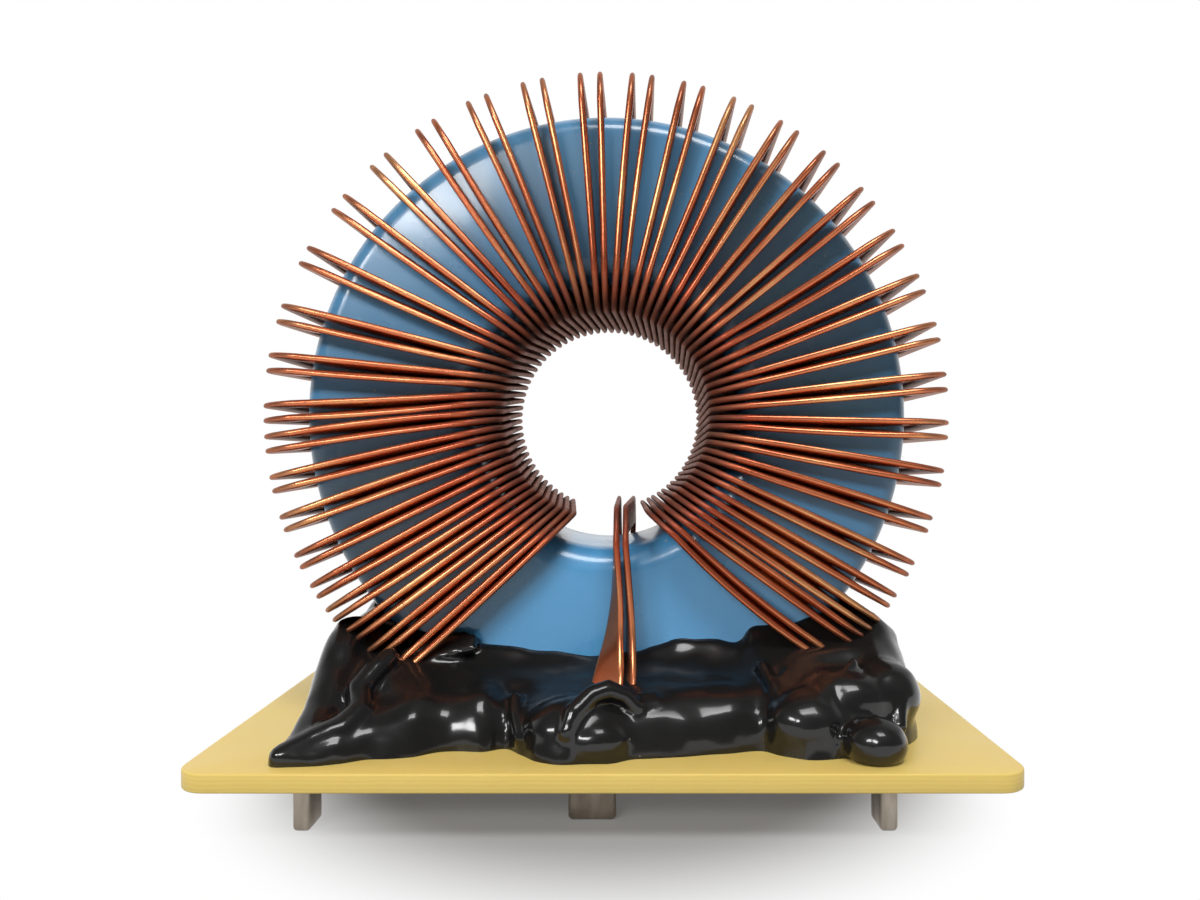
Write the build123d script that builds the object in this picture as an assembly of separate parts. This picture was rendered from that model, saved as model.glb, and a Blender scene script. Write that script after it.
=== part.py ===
from build123d import *
import os
from math import cos, exp, radians, sin, sqrt

# Toroidal inductor: paired flat copper strips wound on edge round a coated ring core, potted to a small board.
# Millimetres. +Z is up, +X is right and -Y faces the viewer. The origin is the middle of the board's underside.
# Clock angles run clockwise from the foot of the ring, as seen from the front.

# Board
board_width = 69.0
board_depth = 46.0
board_thickness = 1.6
board_corner = 2.5
slot_clearance = 0.15

# Ring core, measured over its coating
core_od = 58.0
core_id = 25.6
core_height = 16.1
core_outer_edge = 2.0
core_inner_edge = 2.5
core_lift = 0.2

# Copper strip, and the step from one strip of a pair to the other where they lie together
strip_width = 3.0
strip_thickness = 0.6
bend_radius = 0.6
pair_step = 0.64

# Clearance between the core and the loop that the strip makes round its section
gap_inside = 0.05
gap_outside = 0.65
gap_face = 0.4

# Pairs round the ring: even at the window, crowded at the foot and open over the top at the rim.
# Each group at the rim is a number of pairs and their pitch, as the winder left them.
first_inner_angle = 19.5
inner_pitch = 8.78
first_outer_angle = 39.5
outer_spacing = [(4, 4.8), (1, 5.7), (3, 6.85), (1, 5.15), (2, 8.5), (2, 10.6)]
outer_spacing += [(5, 9.8), (7, 8.8), (3, 8.55), (4, 8.1), (1, 6.15), (4, 4.75)]
outer_half_gap = 1.3
outer_gap_swing = 0.35

# Solder-dipped pins, in a front row of three and one at the rear
pin_length = 4.2
pin_rise = 0.5
pin_row_shift = -0.65
pin_pitch = 24.35
side_pin_y = -18.5
centre_pin_x = -1.0
centre_pin_y = -17.0
rear_pin_x = 1.74
rear_pin_y = 16.5
pin_narrow = 1.5
pin_wide = 3.3
centre_pin_wide = 4.1
pin_edge = 0.35

# First bend of the left lead above its pin, the slant of the strips there and their share of the pair's step
lead_bend = (0.5, 0.6, 1.4)
lead_slant = 30
lead_spread = 0.6

# Single turn of two strips through the window, between the centre pins
centre_front_x = [0.98, 1.85]
centre_back_x = [1.1, 2.7]
centre_slack = 1.2

# Front lead of each centre strip, from its pin upwards: x, y, height over the board and twist from edge-on
left_lead = [(-0.3, -16.3, 2.6, 84), (0.2, -12.8, 4.7, 70), (0.75, -10.6, 8.2, 31), (1.05, -10.1, 12.0, 14)]
right_lead = [(0.9, -14.4, 2.4, 64), (2.2, -12.0, 4.7, 16), (2.35, -10.5, 8.2, 8), (2.2, -10.1, 12.0, 4)]

# Potting: half lengths at its ends and shoulders, and its reach and heights between the lumps
potting_end = 28.4
potting_shoulder = 26.6
potting_end_scale = 0.8
potting_rows = 19
potting_reach = 17.4
potting_height = 4.5
potting_on_core = 6.3
potting_end_rise = 2.9

# Steps of the potting's section: where its slope begins, meets the winding and meets the core
potting_toe = [(0.0, 0.0), (0.1, 0.4), (1.5, 0.78)]
potting_slope_y = 14.4
potting_winding_y = 10.8
potting_core_y = 7.4
potting_swell = 0.3

# Lumps of potting over the leads: place, extra reach, extra height and spread
front_lumps = [(-24.5, 4.2, 0.4, 4.4), (-19.5, 0.6, 1.6, 4.0), (-1.6, 4.9, 1.1, 3.8)]
front_lumps += [(17.6, 2.2, 3.0, 3.6), (22.6, 4.6, 1.4, 3.4)]
rear_lumps = [(0.5, 3.6, 0.9, 4.5)]

# Turns at each end of the winding that the potting reaches
potted_turns = 4

# Largest step out of plane in a panel that is left as one face
flat_limit = 1e-6

# Places worked out from these sizes
board_top = board_thickness
ring_z = board_top + core_lift + core_od / 2
pin_top = board_top + pin_rise
left_pin_x = pin_row_shift - pin_pitch
right_pin_x = pin_row_shift + pin_pitch
loop_inner = core_id / 2 - gap_inside
loop_outer = core_od / 2 + gap_outside
inner_tip = loop_inner - strip_width
outer_tip = loop_outer + strip_width
bend_reach = bend_radius + strip_width
face_bend = core_height / 2 + gap_face - bend_radius

# Directions of the strip's width in its loop, as (way along the leg, y)
front = (0, -1)
back = (0, 1)
outward = (1, 0)
inward = (-1, 0)


def halfway(first, second):
    return tuple((a + b) * sqrt(0.5) for a, b in zip(first, second))


def ring_point(radius, angle, y):
    turn = radians(angle)
    return Vector(-radius * sin(turn), y, ring_z - radius * cos(turn))


def panels(corners):
    # One flat panel, or two triangles where the four corners are not in a plane
    a, b, c, d = corners
    if abs((b - a).cross(d - a).normalized().dot(c - a)) < flat_limit:
        return [Face(Wire.make_polygon(corners))]
    return [Face(Wire.make_polygon(three)) for three in ([a, b, c], [a, c, d])]


def skin(sections):
    # Closed solid over a row of sections that have equal numbers of corners.
    # The two sides of a twisted strip are split along the same diagonal, so that it keeps its thickness.
    faces = [Face(Wire.make_polygon(sections[0])), Face(Wire.make_polygon(sections[-1]))]
    count = len(sections[0])
    for here, there in zip(sections, sections[1:]):
        for corner in range(count):
            beside = (corner + 1) % count
            corners = [here[corner], here[beside], there[beside], there[corner]]
            faces += panels(corners if corner < count / 2 else corners[1:] + corners[:1])
    return Solid(Shell(faces))


def strip_section(near, far, offset):
    # near and far are the middles of the strip's two narrow edges
    return [near - offset, far - offset, far + offset, near + offset]


def bend_sections(centre, along, y, facings):
    # Sections of the strip round a bend of a leg that runs along a slanted line
    offset = Vector(0, 1, 0).cross(along) * (strip_thickness / 2)
    sections = []
    for way, lean in facings:
        near = centre + along * (bend_radius * way) + Vector(0, y + bend_radius * lean, 0)
        far = centre + along * (bend_reach * way) + Vector(0, y + bend_reach * lean, 0)
        sections.append(strip_section(near, far, offset))
    return sections


def lead_section(middle, width_direction, thickness_direction):
    middle = Vector(*middle)
    across = Vector(*width_direction).normalized() * (strip_width / 2)
    offset = Vector(*thickness_direction).normalized() * (strip_thickness / 2)
    return strip_section(middle - across, middle + across, offset)


def outer_angles():
    angles = [first_outer_angle]
    for count, pitch in outer_spacing:
        for _ in range(count):
            angles.append(angles[-1] + pitch)
    return angles


rim_angles = outer_angles()
turn_count = len(rim_angles) - 1


def rim_angle(turn, side):
    middle = rim_angles[turn]
    return middle + side * (outer_half_gap - outer_gap_swing * cos(radians(middle)))


def window_angle(turn, side):
    return first_inner_angle + turn * inner_pitch + side * inner_pitch / 4


def leg(turn, side, following):
    # Straight leg from its tip in the window to its tip past the rim; the back leg goes to the following turn
    inner = ring_point(inner_tip, window_angle(turn, side), 0)
    outer = ring_point(outer_tip, rim_angle(turn + following, side), 0)
    along = (outer - inner).normalized()
    return inner + along * bend_reach, outer - along * bend_reach, along


def turn_sections(turn, side):
    # Over the rim to the front leg, through the window, then the back leg out to the rim of the next turn
    inner, outer, along = leg(turn, side, 0)
    over_rim = [outward, halfway(outward, front), front] if turn > 0 else [front]
    sections = bend_sections(outer, along, -face_bend, over_rim)
    sections += bend_sections(inner, along, -face_bend, [front, halfway(front, inward), inward])
    inner, outer, along = leg(turn, side, 1)
    sections += bend_sections(inner, along, face_bend, [inward, halfway(inward, back), back])
    sections += bend_sections(outer, along, face_bend, [back, halfway(back, outward), outward])
    return sections


def lead_in(side):
    # From the left pin up to the first front leg
    shift = -side * pair_step / 2
    start = lead_section((left_pin_x + shift, side_pin_y, pin_top), (0, -1, 0), (-1, 0, 0))
    slant = Vector(-cos(radians(lead_slant)), 0, sin(radians(lead_slant)))
    bend = Vector(left_pin_x, side_pin_y, pin_top) + Vector(*lead_bend) + slant * (side * lead_spread * pair_step)
    return [start, lead_section(bend, (0, -1, 0), slant)]


def lead_out(side):
    # The last outer leg runs on to the front, turns outward and goes down to the right pin
    _, outer, along = leg(turn_count - 1, side, 1)
    centre = outer + along * (bend_reach + bend_radius)
    y = side_pin_y + bend_radius + strip_width / 2
    bend = bend_sections(centre, along, y, [inward, halfway(inward, front), front])
    sections = [[b, a, d, c] for a, b, c, d in bend]
    shift = -side * pair_step / 2
    sections.append(lead_section((right_pin_x + shift, side_pin_y, pin_top), (0, 1, 0), (-1, 0, 0)))
    return sections


def main_strip(side, first=0, last=turn_count):
    # One of the two strips that are wound side by side; side is -1 or 1
    sections = []
    if first == 0:
        sections += lead_in(side)
    for turn in range(first, last):
        sections += turn_sections(turn, side)
    if last == turn_count:
        sections += lead_out(side)
    return skin(sections)


def centre_hump(front_x, back_x):
    # Over the core's inner edge, through the window and over the back edge
    down = Vector(0, 0, -1)
    centre = ring_point(loop_inner + bend_radius - centre_slack, 0, 0)
    over_front = [front, halfway(front, inward), inward]
    over_back = [inward, halfway(inward, back), back]
    sections = bend_sections(centre + Vector(front_x, 0, 0), down, -face_bend, over_front)
    sections += bend_sections(centre + Vector(back_x, 0, 0), down, face_bend, over_back)
    return [section[::-1] for section in sections]


def centre_strip(side, route, front_x, back_x):
    # side is -1 for the strip that lies in front at the pin, and 1 for the one behind it
    shift = side * pair_step / 2
    sections = [lead_section((centre_pin_x, centre_pin_y + shift, pin_top), (1, 0, 0), (0, 1, 0))]
    for x, y, height, twist in route:
        turn = radians(twist)
        place = (x, y, board_top + height)
        sections.append(lead_section(place, (sin(turn), -cos(turn), 0), (cos(turn), sin(turn), 0)))
    sections += centre_hump(front_x, back_x)
    sections.append(lead_section((rear_pin_x + shift, rear_pin_y, pin_top), (0, 1, 0), (1, 0, 0)))
    return skin(sections)


def eased_corner(radius, edge, way):
    # Rounded edge of the core, drawn as two flats; way is 1 at the bore and -1 at the rim
    face = core_height / 2
    middle = (radius + way * edge, face - edge)
    flat = edge * sqrt(0.5)
    return [(radius, middle[1]), (middle[0] - way * flat, middle[1] + flat), (middle[0], face)]


def core():
    half = eased_corner(core_id / 2, core_inner_edge, 1)
    half += reversed(eased_corner(core_od / 2, core_outer_edge, -1))
    profile = half + [(radius, -y) for radius, y in reversed(half)]
    ring = revolve(make_face(Polyline(*profile, close=True)), axis=Axis.Y)
    return Pos(0, 0, ring_z) * ring


def blunt_rectangle(size_x, size_y):
    return chamfer(Rectangle(size_x, size_y).vertices(), pin_edge)


def pin(x, y, size_x, size_y):
    shaft = extrude(blunt_rectangle(size_x, size_y), pin_top + pin_length)
    shaft = chamfer(shaft.faces().sort_by(Axis.Z)[0].edges(), pin_edge)
    return Pos(x, y, -pin_length) * shaft


def board(places):
    plate = RectangleRounded(board_width, board_depth, board_corner)
    for x, y, size_x, size_y in places:
        slot = blunt_rectangle(size_x + 2 * slot_clearance, size_y + 2 * slot_clearance)
        plate -= Pos(x, y) * slot
    return extrude(plate, board_thickness)


def lump_sum(x, lumps, item):
    return sum(lump[item] * exp(-(((x - lump[0]) / lump[3]) ** 2)) for lump in lumps)


def potting_half(x, lumps):
    # Front or back half of the potting's section, from the foot to the core, as (reach, height)
    reach = potting_reach + lump_sum(x, lumps, 1)
    height = potting_height + lump_sum(x, lumps, 2)
    crest = max(potting_on_core + potting_end_rise * (x / potting_shoulder) ** 2, height)
    half = [(reach - inset, share * height) for inset, share in potting_toe]
    half.append((potting_slope_y, height))
    half.append((potting_winding_y, (height + crest) / 2 + potting_swell))
    half.append((potting_core_y, crest))
    return half


def potting_section(x, place, scale):
    # The section that belongs at x, drawn at place
    front_half = [(-reach, height) for reach, height in potting_half(x, front_lumps)]
    back_half = potting_half(x, rear_lumps)[::-1]
    return [Vector(place, y * scale, board_top + height * scale) for y, height in front_half + back_half]


def potting_mound():
    step = 2 * potting_shoulder / (potting_rows - 1)
    places = [row * step - potting_shoulder for row in range(potting_rows)]
    rows = [potting_section(places[0], -potting_end, potting_end_scale)]
    rows += [potting_section(x, x, 1) for x in places]
    rows.append(potting_section(places[-1], potting_end, potting_end_scale))
    return skin(rows)


def potting(bedded):
    # The mound without the pieces that are bedded in it
    mass = potting_mound()
    for piece in bedded:
        mass = mass - piece
    for side in (-1, 1):
        mass = mass - main_strip(side, 0, potted_turns)
        mass = mass - main_strip(side, turn_count - potted_turns, turn_count)
    return mass


pin_places = {
    "pin_left": (left_pin_x, side_pin_y, pin_narrow, pin_wide),
    "pin_right": (right_pin_x, side_pin_y, pin_narrow, pin_wide),
    "pin_centre_front": (centre_pin_x, centre_pin_y, centre_pin_wide, pin_narrow),
    "pin_centre_rear": (rear_pin_x, rear_pin_y, pin_narrow, pin_wide),
}
pieces = {name: pin(*place) for name, place in pin_places.items()}
pieces["toroid_core"] = core()
pieces["centre_strip_a"] = centre_strip(-1, left_lead, centre_front_x[0], centre_back_x[0])
pieces["centre_strip_b"] = centre_strip(1, right_lead, centre_front_x[1], centre_back_x[1])
pieces["potting"] = potting(list(pieces.values()))
pieces["main_strip_a"] = main_strip(-1)
pieces["main_strip_b"] = main_strip(1)
pieces["base_board"] = board(pin_places.values())

os.makedirs("parts", exist_ok=True)
for name, shape in pieces.items():
    export_step(shape, "parts/" + name + ".step")
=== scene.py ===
import math

import bmesh
import bpy
from mathutils import Euler, Matrix, Vector, noise


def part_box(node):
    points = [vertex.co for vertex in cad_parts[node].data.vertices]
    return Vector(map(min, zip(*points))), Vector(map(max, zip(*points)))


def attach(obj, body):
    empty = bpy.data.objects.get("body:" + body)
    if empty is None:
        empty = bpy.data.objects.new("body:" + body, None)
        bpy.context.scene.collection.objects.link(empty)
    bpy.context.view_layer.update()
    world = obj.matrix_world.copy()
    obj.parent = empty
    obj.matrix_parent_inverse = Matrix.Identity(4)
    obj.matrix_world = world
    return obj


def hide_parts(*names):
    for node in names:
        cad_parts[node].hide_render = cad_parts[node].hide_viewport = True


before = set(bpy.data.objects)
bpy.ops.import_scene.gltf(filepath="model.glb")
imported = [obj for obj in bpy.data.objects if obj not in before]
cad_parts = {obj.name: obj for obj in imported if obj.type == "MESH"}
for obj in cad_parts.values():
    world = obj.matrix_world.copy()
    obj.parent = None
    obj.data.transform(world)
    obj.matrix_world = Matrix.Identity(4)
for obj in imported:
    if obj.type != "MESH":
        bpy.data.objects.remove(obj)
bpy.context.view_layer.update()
mm = 0.001
weld = 0.0005  # mm, within which points count as one
print("frame loaded")


# Meshes are worked in millimetres and scaled to metres when they are finished

def nodeBox(node):
    low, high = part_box(node)
    return low / mm, high / mm


coreLow, coreHigh = nodeBox("toroid_core")
ringCentre = (coreLow + coreHigh) / 2
coreOuter = (coreHigh.x - coreLow.x) / 2
coreHalf = (coreHigh.y - coreLow.y) / 2
boardLow, boardHigh = nodeBox("base_board")
boardTop = boardHigh.z
pinFloor = nodeBox("pin_left")[0].z
pinNodes = ["pin_left", "pin_right", "pin_centre_front", "pin_centre_rear"]


def toObject(bm, name):
    bmesh.ops.recalc_face_normals(bm, faces=bm.faces)
    bmesh.ops.scale(bm, vec=(mm, mm, mm), verts=bm.verts)
    mesh = bpy.data.meshes.new(name)
    bm.to_mesh(mesh)
    bm.free()
    made = bpy.data.objects.new(name, mesh)
    bpy.context.scene.collection.objects.link(made)
    return made


def finishPiece(made, node, material, sharpAngle=None):
    made.data.materials.clear()
    made.data.materials.append(material)
    made.data.shade_smooth()
    if sharpAngle:
        made.data.set_sharp_from_angle(angle=math.radians(sharpAngle))
    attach(made, "root")
    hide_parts(node)
    print("piece", made.name, len(made.data.polygons), "faces")
    return made


def bakeModifiers(made):
    # The mesh as its modifiers leave it, on the same object
    graph = bpy.context.evaluated_depsgraph_get()
    final = bpy.data.meshes.new_from_object(made.evaluated_get(graph))
    old = made.data
    made.modifiers.clear()
    made.data = final
    bpy.data.meshes.remove(old)


def wholeMesh(bm):
    return list(bm.verts) + list(bm.edges) + list(bm.faces)


def addBox(bm, middle, size):
    bmesh.ops.create_cube(bm, size=1, matrix=Matrix.Translation(middle) @ Matrix.Diagonal((*size, 1)))


def fillHoles(bm):
    bmesh.ops.holes_fill(bm, edges=[edge for edge in bm.edges if edge.is_boundary], sides=0)


def rolledGrid(bm, rings):
    # A flat grid with one row for each ring of points, rolled round them
    columns = len(rings[0])
    verts = bmesh.ops.create_grid(bm, x_segments=columns - 1, y_segments=len(rings) - 1, size=1)["verts"]
    bm.verts.index_update()
    for vert in verts:
        row, column = divmod(vert.index, columns)
        vert.co = rings[row][column]
    return verts


def closeRoll(bm):
    bmesh.ops.remove_doubles(bm, verts=bm.verts, dist=weld)
    fillHoles(bm)


# Shader helpers. A colour mix is wired by number, because its socket names repeat
mixSocket = {"share": 0, "base": 6, "over": 7, "result": 2}


def addNode(tree, kind, **values):
    node = tree.nodes.new(kind)
    for name, value in values.items():
        if name in node.inputs:
            node.inputs[name].default_value = value
        else:
            setattr(node, name, value)
    return node


def wire(tree, source, output, target, socket):
    tree.links.new(source.outputs[output], target.inputs[socket])


def newMaterial(name, values):
    material = bpy.data.materials.new(name)
    material.use_nodes = True
    tree = material.node_tree
    shader = tree.nodes["Principled BSDF"]
    for socket, value in values.items():
        shader.inputs[socket].default_value = value
    return material, tree, shader


def newGroup(name, inputs, outputs):
    group = bpy.data.node_groups.new(name, "ShaderNodeTree")
    for socket, kind in inputs:
        group.interface.new_socket(socket, in_out="INPUT", socket_type=kind)
    for socket, kind in outputs:
        group.interface.new_socket(socket, in_out="OUTPUT", socket_type=kind)
    return group, group.nodes.new("NodeGroupInput"), group.nodes.new("NodeGroupOutput")


def useGroup(tree, group, **values):
    node = tree.nodes.new("ShaderNodeGroup")
    node.node_tree = group
    for socket, value in values.items():
        node.inputs[socket].default_value = value
    return node


def spreadOver(tree, source, output, start, end, low=0.0, high=1.0, kind="LINEAR"):
    # What runs from start to end, carried over to run from low to high
    node = addNode(tree, "ShaderNodeMapRange", interpolation_type=kind)
    for socket, value in (("From Min", start), ("From Max", end), ("To Min", low), ("To Max", high)):
        node.inputs[socket].default_value = value
    wire(tree, source, output, node, "Value")
    return node


def scaled(tree, source, output, factor):
    node = addNode(tree, "ShaderNodeMath", operation="MULTIPLY")
    node.inputs[1].default_value = factor
    wire(tree, source, output, node, 0)
    return node


def multiplied(tree, source, output, other, otherOutput):
    node = addNode(tree, "ShaderNodeMath", operation="MULTIPLY")
    wire(tree, source, output, node, 0)
    wire(tree, other, otherOutput, node, 1)
    return node


def mixedWith(tree, base, output, colour, share, shareOutput):
    node = addNode(tree, "ShaderNodeMix", data_type="RGBA")
    node.inputs[mixSocket["over"]].default_value = (*colour, 1)
    wire(tree, share, shareOutput, node, mixSocket["share"])
    wire(tree, base, output, node, mixSocket["base"])
    return node


def ramp(tree, stops, source):
    node = tree.nodes.new("ShaderNodeValToRGB")
    marks = node.color_ramp.elements
    while len(marks) < len(stops):
        marks.new(0.5)
    for mark, (place, colour) in zip(marks, stops):
        mark.position = place
        mark.color = (*colour, 1)
    wire(tree, source, "Value", node, "Fac")
    return node


# Node groups that several finishes use
effects = {"mottleDetail": 4.0, "mottleRoughness": 0.55, "mottleSpan": (0.32, 0.68),
           "patchScale": 180.0, "patchDetail": 2.0, "patchSpan": (0.52, 0.66)}


def mottleGroup():
    # Soft cloudy value between Low and High
    group, start, end = newGroup(
        "mottle",
        [("Vector", "NodeSocketVector"), ("Scale", "NodeSocketFloat"), ("Low", "NodeSocketFloat"),
         ("High", "NodeSocketFloat")],
        [("Value", "NodeSocketFloat")])
    cloud = addNode(group, "ShaderNodeTexNoise", Detail=effects["mottleDetail"],
                    Roughness=effects["mottleRoughness"])
    spread = spreadOver(group, cloud, "Fac", *effects["mottleSpan"])
    wire(group, start, "Vector", cloud, "Vector")
    wire(group, start, "Scale", cloud, "Scale")
    wire(group, start, "Low", spread, "To Min")
    wire(group, start, "High", spread, "To Max")
    wire(group, spread, "Result", end, "Value")
    return group


def speckGroup():
    # Small round specks of dust, in patches
    group, start, end = newGroup(
        "specks",
        [("Vector", "NodeSocketVector"), ("Scale", "NodeSocketFloat"), ("Size", "NodeSocketFloat")],
        [("Mask", "NodeSocketFloat")])
    cells = addNode(group, "ShaderNodeTexVoronoi")
    patches = addNode(group, "ShaderNodeTexNoise", Scale=effects["patchScale"], Detail=effects["patchDetail"])
    keep = spreadOver(group, patches, "Fac", *effects["patchSpan"])
    small = addNode(group, "ShaderNodeMath", operation="LESS_THAN")
    wire(group, start, "Vector", cells, "Vector")
    wire(group, start, "Scale", cells, "Scale")
    wire(group, start, "Vector", patches, "Vector")
    wire(group, cells, "Distance", small, 0)
    wire(group, start, "Size", small, 1)
    both = multiplied(group, small, "Value", keep, "Result")
    wire(group, both, "Value", end, "Mask")
    return group


mottle = mottleGroup()
specks = speckGroup()


def clouded(tree, place, scale, low, high):
    node = useGroup(tree, mottle, Scale=scale, Low=low, High=high)
    wire(tree, place, "Object", node, "Vector")
    return node


def streaked(tree, place, output, stretch, scale):
    # The same clouds drawn out along one direction
    drawn = addNode(tree, "ShaderNodeMapping", Scale=stretch)
    wire(tree, place, output, drawn, "Vector")
    node = useGroup(tree, mottle, Scale=scale, Low=0.0, High=1.0)
    wire(tree, drawn, "Vector", node, "Vector")
    return node


def dustyTone(tree, place, look):
    tone = ramp(tree, look["tones"], clouded(tree, place, *look["cloud"]))
    scale, size = look["dust"]
    dust = useGroup(tree, specks, Scale=scale, Size=size)
    wire(tree, place, "Object", dust, "Vector")
    return mixedWith(tree, tone, "Color", look["dustColour"], dust, "Mask")


def glossFrom(tree, place, shader, look):
    gloss = clouded(tree, place, *look["gloss"])
    wire(tree, gloss, "Value", shader, "Roughness")


def bumpFrom(tree, shader, source, output, look):
    strength, distance = look["bump"]
    bump = addNode(tree, "ShaderNodeBump", Strength=strength, Distance=distance)
    wire(tree, source, output, bump, "Height")
    wire(tree, bump, "Normal", shader, "Normal")


def bumpFromNoise(tree, place, shader, look):
    scale, detail = look["waves"]
    waves = addNode(tree, "ShaderNodeTexNoise", Scale=scale, Detail=detail)
    wire(tree, place, "Object", waves, "Vector")
    bumpFrom(tree, shader, waves, "Fac", look)


def surfaceParts(tree):
    # The surface's direction, split into x, y and z
    surface = addNode(tree, "ShaderNodeNewGeometry")
    parts = addNode(tree, "ShaderNodeSeparateXYZ")
    wire(tree, surface, "Normal", parts, 0)
    return parts


# Finishes: clouds, patches and gloss as scale, low and high, dust as scale and size,
# waves as scale and detail, bumps as strength and distance
copperLook = {
    "shader": {"Specular IOR Level": 0.1, "Specular Tint": (0.78, 0.42, 0.28, 1), "Coat Roughness": 0.24},
    "tones": [(0.0, (0.50, 0.120, 0.050)), (0.5, (0.64, 0.200, 0.085)), (1.0, (0.80, 0.400, 0.170))],
    "streaks": (1.5, 0.09, 1.0), "streakScale": 1.0, "roughness": (0.20, 0.29),
    # Painted shade towards the window: its colour, its share, and where it starts to take off metal and coat
    "paintedShadeColour": (0.30, 0.036, 0.016), "paintedShadeShare": 0.75, "paintedShadeStart": 0.72,
    "metal": (0.8, 0.3), "coat": (0.3, 0.0),
    "hazeColour": (0.10, 0.062, 0.050), "hazePatches": (700.0, 0.45, 0.9), "hazeRoughness": 0.3,
}


def copperMaterial():
    # Clear red-brown enamel over copper, with painted shade towards the window that turns it dark maroon and
    # takes off metal and coat, and dulled where a bend stretches the strip
    material, tree, shader = newMaterial("enamelledCopper", copperLook["shader"])
    place = addNode(tree, "ShaderNodeTexCoord")
    streaks = streaked(tree, place, "UV", copperLook["streaks"], copperLook["streakScale"])
    tone = ramp(tree, copperLook["tones"], streaks)
    # Painted shade: towards the window, where little light gets in between the strips, the enamel is mixed to
    # dark maroon
    windowShade = addNode(tree, "ShaderNodeAttribute", attribute_name="shade")
    for socket, key in (("Metallic", "metal"), ("Coat Weight", "coat")):
        inside = spreadOver(tree, windowShade, "Fac", copperLook["paintedShadeStart"], 1.0, *copperLook[key])
        wire(tree, inside, "Result", shader, socket)
    share = scaled(tree, windowShade, "Fac", copperLook["paintedShadeShare"])
    shadedTone = mixedWith(tree, tone, "Color", copperLook["paintedShadeColour"], share, "Value")
    bends = addNode(tree, "ShaderNodeAttribute", attribute_name="haze")
    patches = clouded(tree, place, *copperLook["hazePatches"])
    haze = multiplied(tree, bends, "Fac", patches, "Value")
    dull = mixedWith(tree, shadedTone, mixSocket["result"], copperLook["hazeColour"], haze, "Value")
    wire(tree, dull, mixSocket["result"], shader, "Base Color")
    gloss = spreadOver(tree, streaks, "Value", 0.0, 1.0, *copperLook["roughness"])
    rougher = addNode(tree, "ShaderNodeMath", operation="MULTIPLY_ADD")
    rougher.inputs[1].default_value = copperLook["hazeRoughness"]
    wire(tree, haze, "Value", rougher, 0)
    wire(tree, gloss, "Result", rougher, 2)
    wire(tree, rougher, "Value", shader, "Roughness")
    return material


coatingLook = {
    "shader": {"Coat Weight": 0.5, "Coat Roughness": 0.12},
    "tones": [(0.0, (0.075, 0.31, 0.59)), (1.0, (0.10, 0.36, 0.66))], "cloud": (60.0, 0.0, 1.0),
    "dust": (900.0, 0.1), "dustColour": (0.30, 0.42, 0.50), "gloss": (140.0, 0.24, 0.38),
    "waves": (520.0, 2.0), "bump": (0.12, 0.00012),
}


def coatingMaterial():
    # Sprayed blue coating with a faint orange peel
    material, tree, shader = newMaterial("blueCoating", coatingLook["shader"])
    place = addNode(tree, "ShaderNodeTexCoord")
    soiled = dustyTone(tree, place, coatingLook)
    wire(tree, soiled, mixSocket["result"], shader, "Base Color")
    glossFrom(tree, place, shader, coatingLook)
    bumpFromNoise(tree, place, shader, coatingLook)
    return material


pottingLook = {
    "shader": {"Specular IOR Level": 0.1, "Coat Roughness": 0.12},
    "tones": [(0.0, (0.004, 0.004, 0.0042)), (1.0, (0.009, 0.0088, 0.0085))], "cloud": (110.0, 0.0, 1.0),
    "dust": (700.0, 0.075), "dustColour": (0.10, 0.095, 0.088), "gloss": (130.0, 0.24, 0.42),
    # Upward faces: settled dust, and a painted sheen of the sky's grey
    "dustAndSheenColour": (0.009, 0.0088, 0.0084), "dustAndSheenTilt": (0.42, 0.75), "dustAndSheenPatches": (160.0, 0.65, 1.0),
    "coat": (1.0, 0.1), "waves": (230.0, 1.5), "bump": (0.22, 0.0006),
}


def pottingMaterial():
    # Glossy black compound, a little paler and less glossy where it faces up: dust settled on it, and a
    # painted sheen for the grey the upward faces catch from the sky
    material, tree, shader = newMaterial("blackPotting", pottingLook["shader"])
    place = addNode(tree, "ShaderNodeTexCoord")
    soiled = dustyTone(tree, place, pottingLook)
    # Where it faces up, in patches: dust, and a painted sheen that stands in for the sky's grey reflection
    upward = spreadOver(tree, surfaceParts(tree), "Z", *pottingLook["dustAndSheenTilt"], kind="SMOOTHSTEP")
    patches = clouded(tree, place, *pottingLook["dustAndSheenPatches"])
    dustAndSheen = multiplied(tree, upward, "Result", patches, "Value")
    dustedAndSheened = mixedWith(tree, soiled, mixSocket["result"], pottingLook["dustAndSheenColour"], dustAndSheen, "Value")
    wire(tree, dustedAndSheened, mixSocket["result"], shader, "Base Color")
    skin = spreadOver(tree, dustAndSheen, "Value", 0.0, 1.0, *pottingLook["coat"])
    wire(tree, skin, "Result", shader, "Coat Weight")
    glossFrom(tree, place, shader, pottingLook)
    bumpFromNoise(tree, place, shader, pottingLook)
    return material


boardLook = {
    "shader": {"Specular IOR Level": 0.25, "Subsurface Weight": 0.15, "Subsurface Radius": (1.0, 0.7, 0.3),
               "Subsurface Scale": 0.0008},
    "tones": [(0.0, (0.74, 0.54, 0.145)), (1.0, (0.80, 0.60, 0.18))], "cloud": (45.0, 0.0, 0.55),
    "layers": {"Scale": 900.0, "Distortion": 1.5, "Detail Scale": 0.4},
    # Side bands: laminate layers, lighter than the sheet as painted light on the edges
    "layerAndLitEdgeColour": (0.86, 0.67, 0.23), "layerAndLitEdgeShare": 0.35, "edgeFrom": 0.5,
    "gloss": (90.0, 0.32, 0.46), "bump": (0.08, 0.0001),
}


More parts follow.
